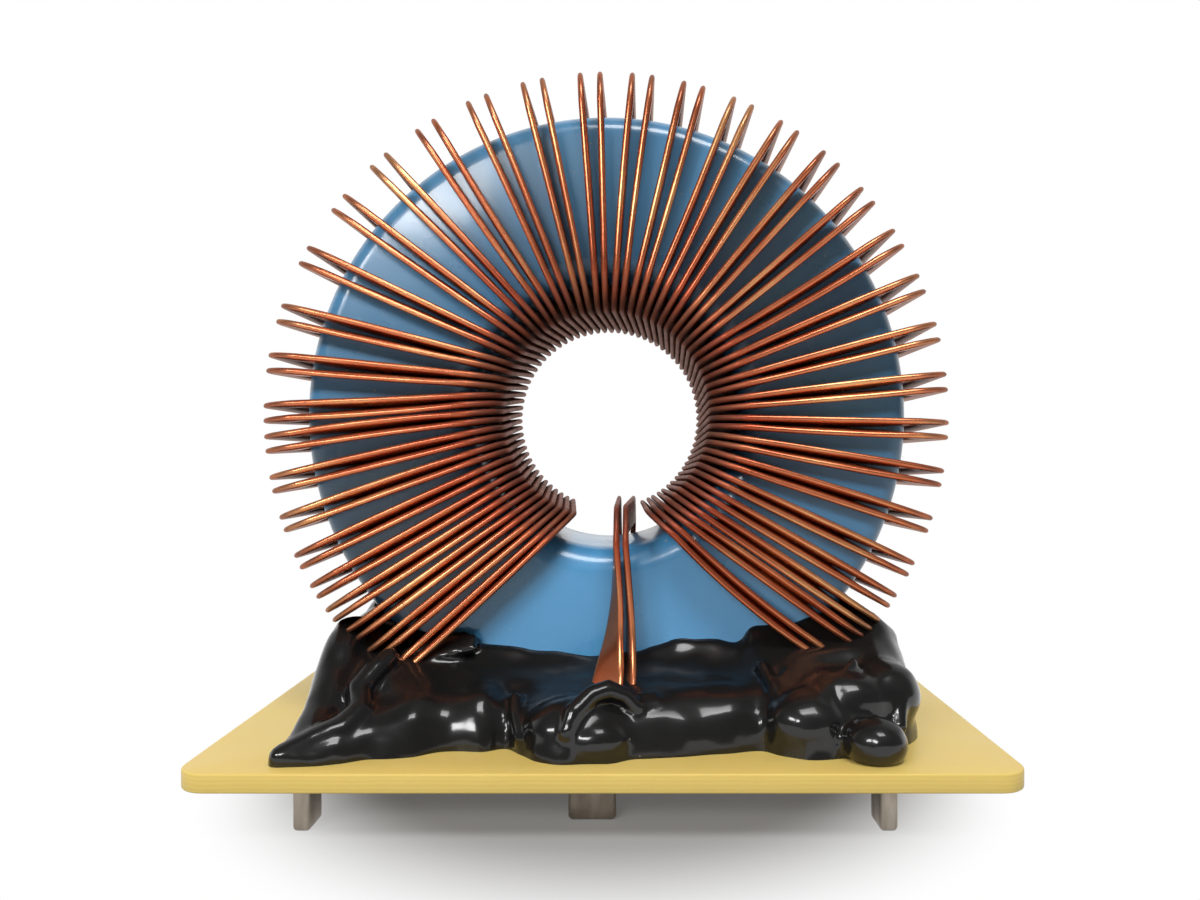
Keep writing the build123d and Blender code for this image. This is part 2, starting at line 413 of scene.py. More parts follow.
def boardMaterial():
    # Pale epoxy-glass sheet, smooth on top, with faint layers along the cut edges, whose bands are lighter
    # than the sheet and so also paint light on the edges
    material, tree, shader = newMaterial("epoxyGlass", boardLook["shader"])
    place = addNode(tree, "ShaderNodeTexCoord")
    cloud = clouded(tree, place, *boardLook["cloud"])
    tone = ramp(tree, boardLook["tones"], cloud)
    layers = addNode(tree, "ShaderNodeTexWave", wave_type="BANDS", bands_direction="Z", **boardLook["layers"])
    wire(tree, place, "Object", layers, "Vector")
    flat = addNode(tree, "ShaderNodeMath", operation="ABSOLUTE")
    wire(tree, surfaceParts(tree), "Z", flat, 0)
    sides = spreadOver(tree, flat, "Value", boardLook["edgeFrom"], 0.0)
    banded = multiplied(tree, layers, "Fac", sides, "Result")
    fainter = scaled(tree, banded, "Value", boardLook["layerAndLitEdgeShare"])
    # Lighter bands on the side faces: laminate layers, and painted light on the edges
    layeredAndLitEdges = mixedWith(tree, tone, "Color", boardLook["layerAndLitEdgeColour"], fainter, "Value")
    wire(tree, layeredAndLitEdges, mixSocket["result"], shader, "Base Color")
    glossFrom(tree, place, shader, boardLook)
    bumpFrom(tree, shader, cloud, "Value", boardLook)
    return material


solderLook = {
    "shader": {"Metallic": 1.0}, "drag": (1.0, 1.0, 0.18), "dragScale": 700.0,
    "tones": [(0.0, (0.27, 0.225, 0.18)), (0.6, (0.36, 0.31, 0.255)), (1.0, (0.47, 0.42, 0.36))],
    "gloss": (600.0, 0.26, 0.5), "bump": (0.15, 0.00008),
}


def solderMaterial():
    # Dull tin skin with drag marks along the dip
    material, tree, shader = newMaterial("dippedSolder", solderLook["shader"])
    place = addNode(tree, "ShaderNodeTexCoord")
    drag = streaked(tree, place, "Object", solderLook["drag"], solderLook["dragScale"])
    tone = ramp(tree, solderLook["tones"], drag)
    wire(tree, tone, "Color", shader, "Base Color")
    glossFrom(tree, place, shader, solderLook)
    bumpFrom(tree, shader, drag, "Value", solderLook)
    return material


copper = copperMaterial()
coating = coatingMaterial()
black = pottingMaterial()
laminate = boardMaterial()
solder = solderMaterial()
print("materials ready")


# Ring core: a rounded profile spun about the ring's axis
core = {"bore": 25.6, "innerEdge": 2.5, "outerEdge": 2.0, "edgeSteps": 8, "spinSteps": 192}


def makeCore():
    bm = bmesh.new()
    bore = core["bore"] / 2
    corners = [(bore, -coreHalf), (coreOuter, -coreHalf), (coreOuter, coreHalf), (bore, coreHalf)]
    verts = [bm.verts.new((radius, y, 0)) for radius, y in corners]
    bm.faces.new(verts)
    innerPair, outerPair = [verts[0], verts[3]], [verts[1], verts[2]]
    for pair, edge in ((innerPair, core["innerEdge"]), (outerPair, core["outerEdge"])):
        bmesh.ops.bevel(bm, geom=pair, offset=edge, offset_type="OFFSET", segments=core["edgeSteps"],
                        profile=0.5, affect="VERTICES", material=-1)
    bmesh.ops.delete(bm, geom=list(bm.faces), context="FACES_ONLY")
    bmesh.ops.spin(bm, geom=list(bm.verts) + list(bm.edges), cent=(0, 0, 0), axis=(0, 1, 0),
                   angle=2 * math.pi, steps=core["spinSteps"], use_merge=True)
    bmesh.ops.translate(bm, vec=ringCentre, verts=bm.verts)
    return finishPiece(toObject(bm, "coatedRing"), "toroid_core", coating)


makeCore()


# Flat strip wound on edge: clock angles run clockwise from the ring's foot, seen from the front
strip = {"width": 3.0, "thickness": 0.6, "bend": 0.6, "pairStep": 0.64, "edgeRound": 0.34, "thinning": 0.15,
         "edgeSteps": 6, "bendSteps": 6, "legSteps": 8, "crossSteps": 4,
         "gapInside": 0.05, "gapOutside": 0.65, "gapFace": 0.4, "shadeFrom": 21.0, "shadeOver": 9.0}
winding = {"firstInner": 19.5, "innerPitch": 8.78, "innerLean": 6.0, "leanTaper": 6,
           "firstOuter": 39.5, "outerHalfGap": 1.25, "outerGapSwing": 0.42, "lean": 0.45, "rearPinch": 0.3,
           # Turns and the degrees from each to the next at the rim
           "outerSpacing": [(4, 4.8), (1, 5.7), (3, 6.85), (1, 5.15), (2, 8.5), (2, 10.6), (5, 9.8),
                            (7, 8.8), (3, 8.55), (4, 8.1), (1, 6.15), (1, 4.9), (1, 3.7), (1, 5.65),
                            (1, 4.75)],
           "legPinch": 0.3, "topPinch": 0.25, "pinchSwing": 0.9, "pinchRise": 5, "farPinch": 0.3,
           "bow": 0.3, "bowStep": 0.7, "bowSide": 3.1, "lastBow": 0.4}

reach = strip["bend"] + strip["width"]
loopInner = core["bore"] / 2 - strip["gapInside"]
loopOuter = coreOuter + strip["gapOutside"]
loopFace = coreHalf + strip["gapFace"]
faceBend = loopFace - strip["bend"]

# Directions across the strip in its loop, as the way along the leg and y
forward = Vector((0, -1))
rearward = Vector((0, 1))
outward = Vector((1, 0))
inward = Vector((-1, 0))


def radial(angle):
    turn = math.radians(angle)
    return Vector((-math.sin(turn), 0, -math.cos(turn)))


def ringPoint(radius, angle, y):
    return ringCentre + radial(angle) * radius + Vector((0, y, 0))


def outerAngles():
    angles = [winding["firstOuter"]]
    for count, pitch in winding["outerSpacing"]:
        for _ in range(count):
            angles.append(angles[-1] + pitch)
    return angles


rimAngles = outerAngles()
turnCount = len(rimAngles) - 1


def rimAngle(turn, side):
    middle = math.radians(rimAngles[turn])
    return rimAngles[turn] + side * (winding["outerHalfGap"] - winding["outerGapSwing"] * math.cos(middle))


def rearRimAngle(turn, side):
    # The outer legs lean clockwise towards the back, most on the right, and the pair closes up at the sides
    angle = rimAngle(turn, side)
    across = math.sin(math.radians(angle))
    pinched = rimAngles[turn] + (angle - rimAngles[turn]) * (1 - winding["rearPinch"] * abs(across))
    return pinched + winding["lean"] * (1 - across)


def windowAngle(turn, side):
    return winding["firstInner"] + turn * winding["innerPitch"] + side * winding["innerPitch"] / 4


def rearWindowAngle(turn, side):
    # The legs in the window lean clockwise towards the back, less in the last turns
    share = min(1, (turnCount - turn) / winding["leanTaper"])
    return windowAngle(turn, side) + winding["innerLean"] * share


def station(near, far, side, stretch=0.0):
    # near and far are the middles of the strip's narrow edges; stretch is 1 where a bend thins the far one
    return {"near": near, "far": far, "side": side, "stretch": stretch}


def sideways(along):
    return Vector((along.z, 0, -along.x))


def legLine(innerAngle, outerAngle):
    # A leg runs straight from its tip in the window to its tip past the rim.
    # Gives the centres of its two bends and its direction
    start = ringPoint(loopInner - strip["width"], innerAngle, 0)
    end = ringPoint(loopOuter + strip["width"], outerAngle, 0)
    along = (end - start).normalized()
    return start + along * reach, end - along * reach, along


def bendStations(centre, along, y, first, last):
    made = []
    middle = centre + Vector((0, y, 0))
    for step in range(strip["bendSteps"] + 1):
        turn = math.pi / 2 * step / strip["bendSteps"]
        facing = first * math.cos(turn) + last * math.sin(turn)
        way = along * facing.x + Vector((0, facing.y, 0))
        made.append(station(middle + way * strip["bend"], middle + way * reach, sideways(along),
                            math.sqrt(abs(facing.x))))
    return made


def legStations(line, way, side, angle, number):
    # From the window to the rim with a slight bow. The pair lean together at the core, least over the top
    start, end, along = line
    across = sideways(along)
    belowTop = 1 + math.cos(math.radians(angle))
    pinch = winding["legPinch"] * min(1, winding["topPinch"] + winding["pinchSwing"] * belowTop)
    seed = Vector((number * winding["bowStep"], way * winding["bowSide"], 0))
    bow = across * winding["bow"] * noise.noise(seed)
    if number == turnCount - 1 and way < 0:
        bow = across * winding["lastBow"]
    made = []
    for step in range(1, strip["legSteps"]):
        t = step / strip["legSteps"]
        middle = start.lerp(end, t) + bow * 4 * t * (1 - t)
        lean = across * side * pinch * min(1, winding["pinchRise"] * t * (1 - t))
        near = middle + Vector((0, way * loopFace, 0)) - lean
        far = middle + Vector((0, way * (loopFace + strip["width"]), 0)) + lean * winding["farPinch"]
        made.append(station(near, far, across))
    return made


def between(first, last):
    # Stations of a leg along the ring's axis, which may twist
    made = []
    for step in range(1, strip["crossSteps"]):
        t = step / strip["crossSteps"]
        near, far, side = (first[key].lerp(last[key], t) for key in ("near", "far", "side"))
        made.append(station(near, far, side.normalized(), first["stretch"]))
    return made


def blend(a, b, c, d, t):
    # A smooth curve from b to c, with a and d as its neighbours
    squared = a * 2 - b * 5 + c * 4 - d
    cubed = b * 3 - a - c * 3 + d
    return ((b * 2) + (c - a) * t + squared * t ** 2 + cubed * t ** 3) / 2


def eased(stations, steps):
    # A smooth run through a few stations
    row = [stations[0]] + stations + [stations[-1]]
    made = []
    for index in range(1, len(row) - 2):
        four = row[index - 1:index + 3]
        for step in range(steps):
            t = step / steps
            near, far, side = (blend(*(one[key] for one in four), t) for key in ("near", "far", "side"))
            middle = (near + far) / 2
            across = (far - near).normalized() * strip["width"] / 2
            made.append(station(middle - across, middle + across, side.normalized()))
    return made + [stations[-1]]


def leadStation(middle, across, side):
    across = Vector(across).normalized() * strip["width"] / 2
    return station(Vector(middle) - across, Vector(middle) + across, Vector(side).normalized())


def pinTop(node):
    low, high = nodeBox(node)
    return Vector(((low.x + high.x) / 2, (low.y + high.y) / 2, high.z))


# Leads: the way from the left pin to the bend over it, the sag under the ring, and the right lead's turn
leadIn = {"bend": (0.5, 0.9, 1.0), "slant": 30, "spread": 0.6, "sag": (-21.6, -12.6, 4.6), "steps": 6}
leadOut = {"y": -12.4}


def leadInStations(side):
    # Left pin to the first front leg
    foot = pinTop("pin_left")
    turn = math.radians(leadIn["slant"])
    slant = Vector((-math.cos(turn), 0, math.sin(turn)))
    start = leadStation(foot + Vector((-side * strip["pairStep"] / 2, 0, 0)), (0, -1, 0), (-1, 0, 0))
    bend = foot + Vector(leadIn["bend"]) + slant * (side * leadIn["spread"] * strip["pairStep"])
    sag = Vector(leadIn["sag"]) + slant * (side * strip["pairStep"] / 2)
    line = legLine(windowAngle(0, side), rimAngle(0, side))
    first = bendStations(line[1], line[2], -faceBend, forward, inward)[0]
    middle = [leadStation(one, (0, -1, 0), slant) for one in (bend, sag)]
    return eased([start, *middle, first], leadIn["steps"])


def leadOutStations(side):
    # The last outer leg runs to the front, turns outward and goes down to the right pin
    line = legLine(rearWindowAngle(turnCount - 1, side), rimAngle(turnCount, side))
    foot = pinTop("pin_right")
    centre = line[1] + line[2] * (reach + strip["bend"])
    made = []
    for one in bendStations(centre, line[2], leadOut["y"], inward, forward):
        made.append(station(one["far"], one["near"], one["side"]))
    end = leadStation(foot + Vector((-side * strip["pairStep"] / 2, 0, 0)), (0, 1, 0), (-1, 0, 0))
    return made + [end]


def windingStations(side):
    made = leadInStations(side)
    for turn in range(turnCount):
        angle = rimAngle(turn, side)
        line = legLine(windowAngle(turn, side), angle)
        if turn > 0:
            overRim = bendStations(line[1], line[2], -faceBend, outward, forward)
            made += between(made[-1], overRim[0]) + overRim
        made += legStations(line, -1, side, angle, turn)[::-1]
        made += bendStations(line[0], line[2], -faceBend, forward, inward)
        angle = rearRimAngle(turn + 1, side) if turn + 1 < turnCount else rimAngle(turn + 1, side)
        line = legLine(rearWindowAngle(turn, side), angle)
        inWindow = bendStations(line[0], line[2], faceBend, inward, rearward)
        made += between(made[-1], inWindow[0]) + inWindow
        made += legStations(line, 1, side, angle, turn)
        made += bendStations(line[1], line[2], faceBend, rearward, outward)
    return made + leadOutStations(side)


def sectionRing(here):
    # Round the strip's section, which has rounded narrow edges
    across = (here["far"] - here["near"]).normalized()
    half = strip["thickness"] / 2
    farThin = 1 - strip["thinning"] * here["stretch"]
    ring = []
    for end, way, thin in ((here["far"], 1, farThin), (here["near"], -1, 1)):
        middle = end - across * way * strip["edgeRound"]
        for step in range(strip["edgeSteps"] + 1):
            turn = math.pi * (step / strip["edgeSteps"] - 0.5)
            rise = across * way * strip["edgeRound"] * math.cos(turn)
            ring.append(middle + rise + here["side"] * way * half * thin * math.sin(turn))
    return ring + [ring[0]]


def sweepStrip(name, node, stations):
    # haze marks the stretched bends, and shade grows towards the window, where the copper's finish paints
    # shade
    rings = [sectionRing(here) for here in stations]
    columns = len(rings[0])
    runs = [0.0]
    for here, there in zip(stations, stations[1:]):
        runs.append(runs[-1] + ((there["near"] + there["far"] - here["near"] - here["far"]) / 2).length)
    bm = bmesh.new()
    haze = bm.verts.layers.float.new("haze")
    shade = bm.verts.layers.float.new("shade")
    uv = bm.loops.layers.uv.new("UVMap")
    for vert in rolledGrid(bm, rings):
        vert[haze] = stations[vert.index // columns]["stretch"]
        radius = Vector((vert.co.x - ringCentre.x, vert.co.z - ringCentre.z)).length
        vert[shade] = min(1, max(0, (strip["shadeFrom"] - radius) / strip["shadeOver"]))
    for face in bm.faces:
        for loop in face.loops:
            row, column = divmod(loop.vert.index, columns)
            loop[uv].uv = (column / (columns - 1), runs[row])
    closeRoll(bm)
    return finishPiece(toObject(bm, name), node, copper)


sweepStrip("woundStripA", "main_strip_a", windingStations(-1))
sweepStrip("woundStripB", "main_strip_b", windingStations(1))


# Single turn through the window: x, y, height over the board and twist from edge-on, from the front pin up
centreTurn = {"slack": 1.2, "frontX": [0.98, 1.85], "backX": [1.1, 2.7], "steps": 8,
              "leftLead": [(-0.3, -16.3, 2.6, 84), (0.2, -12.8, 4.7, 70), (0.75, -10.6, 8.2, 31),
                           (1.05, -10.1, 12.0, 14)],
              "rightLead": [(0.9, -14.4, 2.4, 64), (2.2, -12.0, 4.7, 16), (2.35, -10.5, 8.2, 8),
                            (2.2, -10.1, 12.0, 4)]}


def centreStations(side, lead, frontX, backX):
    foot = pinTop("pin_centre_front")
    rear = pinTop("pin_centre_rear")
    shift = side * strip["pairStep"] / 2
    route = [leadStation(foot + Vector((0, shift, 0)), (1, 0, 0), (0, 1, 0))]
    for x, y, height, twist in lead:
        turn = math.radians(twist)
        across = (math.sin(turn), -math.cos(turn), 0)
        sideOn = (math.cos(turn), math.sin(turn), 0)
        route.append(leadStation((x, y, boardTop + height), across, sideOn))
    top = ringPoint(loopInner + strip["bend"] - centreTurn["slack"], 0, 0)
    humpFront = bendStations(top + Vector((frontX, 0, 0)), radial(0), -faceBend, forward, inward)
    humpBack = bendStations(top + Vector((backX, 0, 0)), radial(0), faceBend, inward, rearward)
    for one in humpFront + humpBack:
        one["side"] = Vector((1, 0, 0))
    end = leadStation(rear + Vector((shift, 0, 0)), (0, 1, 0), (1, 0, 0))
    return eased(route + humpFront[:1], centreTurn["steps"]) + humpFront[1:] + humpBack + [end]


for name, node, side, lead, place in (("centreStripA", "centre_strip_a", -1, "leftLead", 0),
                                      ("centreStripB", "centre_strip_b", 1, "rightLead", 1)):
    route = centreStations(side, centreTurn[lead], centreTurn["frontX"][place], centreTurn["backX"][place])
    sweepStrip(name, node, route)


# Carrier board: a rounded sheet with eased edges and a slot round each pin
board = {"corner": 2.5, "cornerSteps": 8, "edge": 0.16, "edgeSteps": 3, "clearance": 0.15, "sharpAngle": 40}


def makeBoard():
    bm = bmesh.new()
    size = boardHigh - boardLow
    bmesh.ops.create_grid(bm, x_segments=1, y_segments=1, size=0.5)
    bmesh.ops.scale(bm, vec=(size.x, size.y, 1), verts=bm.verts)
    bmesh.ops.bevel(bm, geom=list(bm.verts), offset=board["corner"], offset_type="OFFSET",
                    segments=board["cornerSteps"], profile=0.5, affect="VERTICES", material=-1)
    raised = bmesh.ops.extrude_face_region(bm, geom=list(bm.faces))["geom"]
    top = [part for part in raised if isinstance(part, bmesh.types.BMVert)]
    bmesh.ops.translate(bm, vec=(0, 0, size.z), verts=top)
    bmesh.ops.recalc_face_normals(bm, faces=bm.faces)
    rims = [edge for edge in bm.edges if abs(edge.verts[0].co.z - edge.verts[1].co.z) < weld]
    bmesh.ops.bevel(bm, geom=rims, offset=board["edge"], offset_type="OFFSET", segments=board["edgeSteps"],
                    profile=0.5, affect="EDGES", material=-1)
    middle = (boardLow + boardHigh) / 2
    bmesh.ops.translate(bm, vec=(middle.x, middle.y, boardLow.z), verts=bm.verts)
    sheet = toObject(bm, "carrierBoard")
    cutters = bmesh.new()
    for node in pinNodes:
        low, high = nodeBox(node)
        room = Vector((board["clearance"], board["clearance"], 0))
        addBox(cutters, (low + high) / 2, high - low + room * 2)
    slots = toObject(cutters, "slotCutters")
    cut = sheet.modifiers.new("slots", "BOOLEAN")
    cut.object = slots
    cut.operation = "DIFFERENCE"
    cut.solver = "EXACT"
    bakeModifiers(sheet)
    bpy.data.objects.remove(slots)
    return finishPiece(sheet, "base_board", laminate, board["sharpAngle"])


makeBoard()


# Pins: strip ends in a skin of solder, with soft corners and a slightly drawn surface
pin = {"corner": 0.4, "cornerSteps": 4, "longEdge": 1.0, "cuts": 5, "plainEnd": 0.1,
       "ripple": 0.06, "rippleSize": 0.8, "sink": 0.3, "sharpAngle": 50}


def makePin(node):
    low, high = nodeBox(node)
    bm = bmesh.new()
    addBox(bm, (low + high) / 2, high - low)
    upright = [edge for edge in bm.edges if abs(edge.verts[0].co.z - edge.verts[1].co.z) > pin["longEdge"]]
    foot = [edge for edge in bm.edges if max(vert.co.z for vert in edge.verts) < low.z + weld]
    bmesh.ops.bevel(bm, geom=upright + foot, offset=pin["corner"], offset_type="OFFSET",
                    segments=pin["cornerSteps"], profile=0.5, affect="EDGES", material=-1)
    bmesh.ops.bisect_plane(bm, geom=wholeMesh(bm), plane_co=(0, 0, (low.z + high.z) / 2), plane_no=(0, 0, 1))
    longEdges = [edge for edge in bm.edges if edge.calc_length() > pin["longEdge"]]
    bmesh.ops.subdivide_edges(bm, edges=longEdges, cuts=pin["cuts"], use_grid_fill=True)
    for vert in bm.verts:
        if low.z + pin["plainEnd"] < vert.co.z < high.z - pin["plainEnd"]:
            sway = noise.noise_vector(vert.co * pin["rippleSize"]) * pin["ripple"]
            sway.z = 0
            vert.co += sway - sway.normalized() * pin["ripple"] * pin["sink"]
    name = "".join(word.capitalize() for word in node.split("_"))
    return finishPiece(toObject(bm, "solder" + name), node, solder, pin["sharpAngle"])


for node in pinNodes:
    makePin(node)


# Potting: a mound over the leads with a bench in front of the core, then lumps and runs that set on top of it
potting = {
    # left and right as x at the shrunken end section and at the last full one
    "left": (-26.7, -25.7), "right": (28.2, 26.7), "endScale": 0.86, "rows": 109,
    "massVoxel": 0.42, "massSmoothing": 9, "voxel": 0.28, "smoothing": 4, "easing": 0.5, "sharpAngle": 60,
    "swell": 0.24, "swellSize": 4.0, "fineSwell": 0.4, "lumpSteps": 3, "runStep": 0.3, "cutRoom": 1e-7,
    # x against the reach of the front foot, then heights over the board: bench, behind it and on the core
    "foot": [(-27, 20.4), (-24, 21.2), (-22, 20.8), (-19.5, 19.5), (-16.4, 19.0), (-13.5, 17.5),
             (-10.4, 17.8), (-8.4, 16.4), (-7.2, 18.0), (-5.6, 20.0), (-3.5, 21.0), (0.5, 20.8), (2.6, 19.3),
             (6, 18.9), (10, 18.2), (13.6, 17.3), (15.2, 18.6), (17.2, 19.9), (19.4, 19.6), (21, 19.0),
             (24, 18.2), (26, 16.0), (28, 14.6)],
    "bench": [(-27, 1.5), (-24, 1.9), (-21.5, 3.0), (-19.2, 4.1), (-16.4, 4.9), (-13.5, 4.2), (-10.6, 4.9),
              (-8.4, 4.0), (-7, 3.5), (-4, 3.6), (1.5, 4.2), (3.2, 4.9), (6, 5.1), (10, 5.2), (13.6, 5.0),
              (15.5, 4.6), (18, 4.6), (21, 4.2), (25, 3.6), (28, 2.5)],
    "behind": [(-27, 6.0), (-24, 6.4), (-21.5, 6.5), (-19, 6.4), (-16, 5.8), (-12, 5.2), (-8, 4.8), (2, 4.8),
               (6, 5.1), (12.5, 5.1), (15, 6.5), (18, 7.2), (22, 7.6), (25, 7.2), (28, 5.8)],
    "crest": [(-27, 9.6), (-24, 9.9), (-20, 8.8), (-16, 8.3), (-11.6, 7.4), (-6, 6.7), (-1.4, 6.3),
              (2.9, 6.5), (4.7, 7.2), (7, 8.0), (10, 7.8), (12.5, 7.4), (14, 9.2), (17, 9.4), (21, 10.3),
              (25, 10.6), (28, 8.6)],
    "rearReach": 17.4, "rearBench": 4.4, "rearLump": (0.5, 3.4, 4.5), "rearLumpRise": 0.2,
    # Section: noses as the way back from the foot and the share of the bench, the front slope as y and
    # the share of the rise from behind to the crest, the top as y and the drop from the crest
    "below": 1.5, "frontNose": [(0.0, 0.0), (0.2, 0.3), (0.85, 0.62), (2.0, 0.87), (3.8, 1.0)],
    "frontSlope": [(11.8, 0.0), (10.4, 0.22), (9.2, 0.55)], "top": [(8.4, 0.0), (7.0, 0.0), (3.0, 1.0)],
    "rearNose": [(0.0, 0.0), (0.3, 0.45), (1.4, 0.85), (3.2, 1.0)], "rearSlope": 10.8,
}

# Soft lumps as x, y, height over the board and three radii, and the ones that set last
pottingLumps = [
    (-2.2, -17.4, 1.6, 4.7, 3.2, 3.2),
    (17.4, -16.4, 2.2, 3.5, 3.4, 3.0),
    (21.2, -14.8, 3.4, 4.2, 2.9, 3.2),
    (25.0, -13.2, 3.8, 3.3, 3.2, 3.4),
]
lateLumps = [
    (-0.9, -18.8, 1.2, 3.1, 2.3, 2.3),
    (22.7, -19.6, 1.4, 2.75, 2.4, 2.2),
]

# Crumpled flat patches as place, size and tilt in degrees
pottingFacets = [
    ((16.8, -14.4, 5.0), (3.4, 3.0, 1.0), (26, -14, 38)),
    ((20.8, -14.9, 5.1), (3.0, 2.8, 1.0), (36, 10, 34)),
    ((18.4, -16.6, 4.3), (2.8, 2.2, 0.9), (46, -16, -28)),
    ((3.8, -16.9, 4.3), (1.8, 1.6, 0.8), (38, -6, 22)),
    ((-14.6, -9.8, 7.3), (5.0, 1.9, 0.8), (48, -12, 4)),
]

# Runs of compound as x, y, height over the board and radius: soft ones, then the creased ones over them
softRuns = [
    [(-24.4, -9.4, 7.8, 1.8), (-24.6, -12.5, 4.8, 2.0), (-24.6, -16.0, 2.2, 1.9), (-25.0, -19.0, 0.7, 1.8)],
    [(-22.5, -19.4, 0.8, 1.5), (-25.0, -20.0, 0.5, 1.5), (-26.5, -20.5, 0.2, 1.1)],
]
creasedRuns = [
    [(-19.6, -12.2, 7.0, 0.9), (-20.8, -13.6, 5.9, 1.0), (-21.5, -15.0, 4.8, 1.15),
     (-21.0, -16.8, 3.4, 1.2), (-22.2, -18.5, 2.2, 1.2), (-24.3, -19.8, 1.5, 1.1), (-26.4, -20.6, 0.6, 0.9)],
    [(-23.9, -11.6, 6.8, 0.7), (-24.2, -13.4, 5.0, 0.7), (-25.0, -14.6, 3.6, 0.6)],
    [(-18.4, -10.4, 7.0, 0.5), (-15.8, -9.4, 7.9, 0.5), (-13.4, -9.0, 8.3, 0.5), (-12.2, -9.0, 7.7, 0.5)],
    [(-3.0, -20.2, 2.4, 0.7), (-2.4, -19.6, 4.0, 0.8), (-1.0, -18.6, 5.2, 0.8), (0.4, -18.0, 5.5, 0.8),
     (1.8, -17.8, 4.9, 0.7), (2.8, -17.8, 3.9, 0.6)],
    [(14.2, -12.6, 6.2, 0.6), (14.9, -15.2, 4.9, 0.55), (15.5, -18.0, 2.6, 0.6)],
    [(22.2, -14.2, 6.9, 0.5), (19.4, -16.6, 5.0, 0.55), (16.9, -18.4, 3.4, 0.5)],
    [(24.0, -14.6, 6.0, 0.6), (25.8, -15.6, 3.9, 0.7), (25.6, -16.6, 1.9, 0.7)],
    [(-7.9, -14.4, 3.8, 0.6), (-7.6, -16.0, 2.5, 0.7), (-7.0, -17.4, 1.2, 0.8)],
]


def outlineAt(table, x):
    # The value of a measured outline at x, eased between its points
    if x <= table[0][0]:
        return table[0][1]
    for (x0, first), (x1, second) in zip(table, table[1:]):
        if x <= x1:
            t = (x - x0) / (x1 - x0)
            return first + (second - first) * t * t * (3 - 2 * t)
    return table[-1][1]


def pottingNose(foot, bench, steps):
    return [(foot, -potting["below"])] + [(foot - back, share * bench) for back, share in steps]


def pottingTop(crest):
    return [(y, crest - drop) for y, drop in potting["top"]]


def pottingFront(x):
    keys = ("foot", "bench", "behind", "crest")
    foot, bench, behind, crest = (outlineAt(potting[key], x) for key in keys)
    rise = crest - behind
    slope = [(y, behind + share * rise) for y, share in potting["frontSlope"]]
    return pottingNose(foot, bench, potting["frontNose"]) + slope + pottingTop(crest)


def pottingRear(x):
    middle, more, spread = potting["rearLump"]
    lump = more * math.exp(-(((x - middle) / spread) ** 2))
    foot = potting["rearReach"] + lump
    bench = potting["rearBench"] + potting["rearLumpRise"] * lump
    crest = outlineAt(potting["crest"], x)
    slope = [(potting["rearSlope"], (bench + crest) / 2)]
    return pottingNose(foot, bench, potting["rearNose"]) + slope + pottingTop(crest)


def pottingRing(x, place, scale):
    half = [(-y, height) for y, height in pottingFront(x)] + pottingRear(x)[::-1]
    ring = [Vector((place, y * scale, boardTop + height * scale)) for y, height in half]
    return ring + [ring[0]]


def pottingMound(bm):
    first, last = potting["left"][1], potting["right"][1]
    places = [first + (last - first) * row / (potting["rows"] - 1) for row in range(potting["rows"])]
    rings = [pottingRing(first, potting["left"][0], potting["endScale"])]
    rings += [pottingRing(x, x, 1) for x in places]
    rings.append(pottingRing(last, potting["right"][0], potting["endScale"]))
    rolledGrid(bm, rings)
    closeRoll(bm)
    bmesh.ops.recalc_face_normals(bm, faces=bm.faces)


def addLump(bm, x, y, height, radii):
    place = Matrix.Translation((x, y, boardTop + height)) @ Matrix.Diagonal((*radii, 1))
    bmesh.ops.create_icosphere(bm, subdivisions=potting["lumpSteps"], radius=1, matrix=place)


def addFacet(bm, place, size, tilt):
    x, y, height = place
    turn = Euler([math.radians(angle) for angle in tilt]).to_matrix().to_4x4()
    middle = Matrix.Translation((x, y, boardTop + height))
    bmesh.ops.create_cube(bm, size=1, matrix=middle @ turn @ Matrix.Diagonal((*size, 1)))


def addRun(bm, run):
    for here, there in zip(run, run[1:]):
        here = Vector(here)
        step = Vector(there) - here
        count = max(2, int(step.xyz.length / (here.w * potting["runStep"])))
        for index in range(count):
            one = here + step * index / count
            addLump(bm, one.x, one.y, one.z, (one.w,) * 3)
    x, y, height, radius = run[-1]
    addLump(bm, x, y, height, (radius,) * 3)


def runTogether(mass, voxel, smoothing):
    # Everything in the mesh joined into one skin, then eased
    join = mass.modifiers.new("runTogether", "REMESH")
    join.mode = "VOXEL"
    join.voxel_size = voxel * mm
    ease = mass.modifiers.new("ease", "SMOOTH")
    ease.factor = potting["easing"]
    ease.iterations = smoothing
    bakeModifiers(mass)


def swollen(bm):
    # Slow swells in the set surface
    bm.normal_update()
    moves = []
    for vert in bm.verts:
        place = vert.co / mm / potting["swellSize"]
        amount = noise.noise(place) + potting["fineSwell"] * noise.noise(place * 2)
        moves.append(vert.normal * amount * potting["swell"] * mm)
    for vert, move in zip(bm.verts, moves):
        vert.co += move


